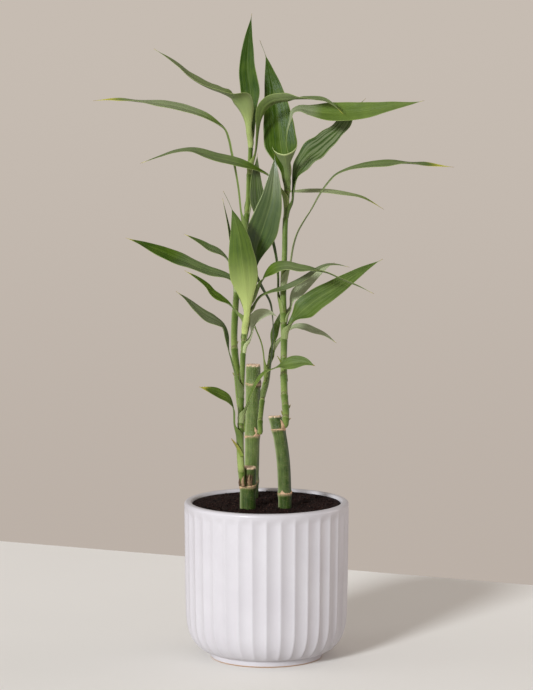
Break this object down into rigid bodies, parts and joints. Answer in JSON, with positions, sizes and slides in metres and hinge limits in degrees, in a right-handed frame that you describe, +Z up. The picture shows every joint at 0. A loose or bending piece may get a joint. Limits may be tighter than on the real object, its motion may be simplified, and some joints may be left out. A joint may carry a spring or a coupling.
{
  "type": "lucky bamboo in a fluted pot",
  "caption": "Potted lucky bamboo: cut canes with leafy shoots stand in soil in a round fluted ceramic pot.",
  "frame": {"origin": "centre of the pot's flat underside", "axes": "+Z up along the plant, +X to the right and -Y towards the viewer when the plant is seen from its front"},
  "size_m": [0.2705, 0.125, 0.488],
  "materials": {
    "pot": "satin",
    "soil": "matte",
    "cane": "satin",
    "shoot": "satin",
    "leaf": "satin"
  },
  "bodies": {
    "root": {"pot": "pot", "soil": "soil", "cane_left": "cane", "cane_middle": "cane", "cane_right": "cane", "shoot_left": "shoot", "leaf_left_1": "leaf", "leaf_left_2": "leaf", "leaf_left_3": "leaf", "leaf_left_4": "leaf", "leaf_left_5": "leaf", "leaf_left_6": "leaf", "leaf_left_7": "leaf", "leaf_left_8": "leaf", "leaf_left_9": "leaf", "shoot_middle": "shoot", "leaf_middle_1": "leaf", "leaf_middle_2": "leaf", "leaf_middle_3": "leaf", "leaf_middle_4": "leaf", "shoot_back": "shoot", "leaf_back_1": "leaf", "leaf_back_2": "leaf", "leaf_back_3": "leaf", "leaf_back_4": "leaf", "leaf_back_5": "leaf", "leaf_back_6": "leaf", "shoot_right": "shoot", "leaf_right_1": "leaf", "leaf_right_2": "leaf", "leaf_right_3": "leaf", "leaf_right_4": "leaf", "leaf_right_5": "leaf", "leaf_right_6": "leaf", "leaf_right_7": "leaf", "leaf_right_8": "leaf", "leaf_right_9": "leaf"}
  },
  "joints": []
}
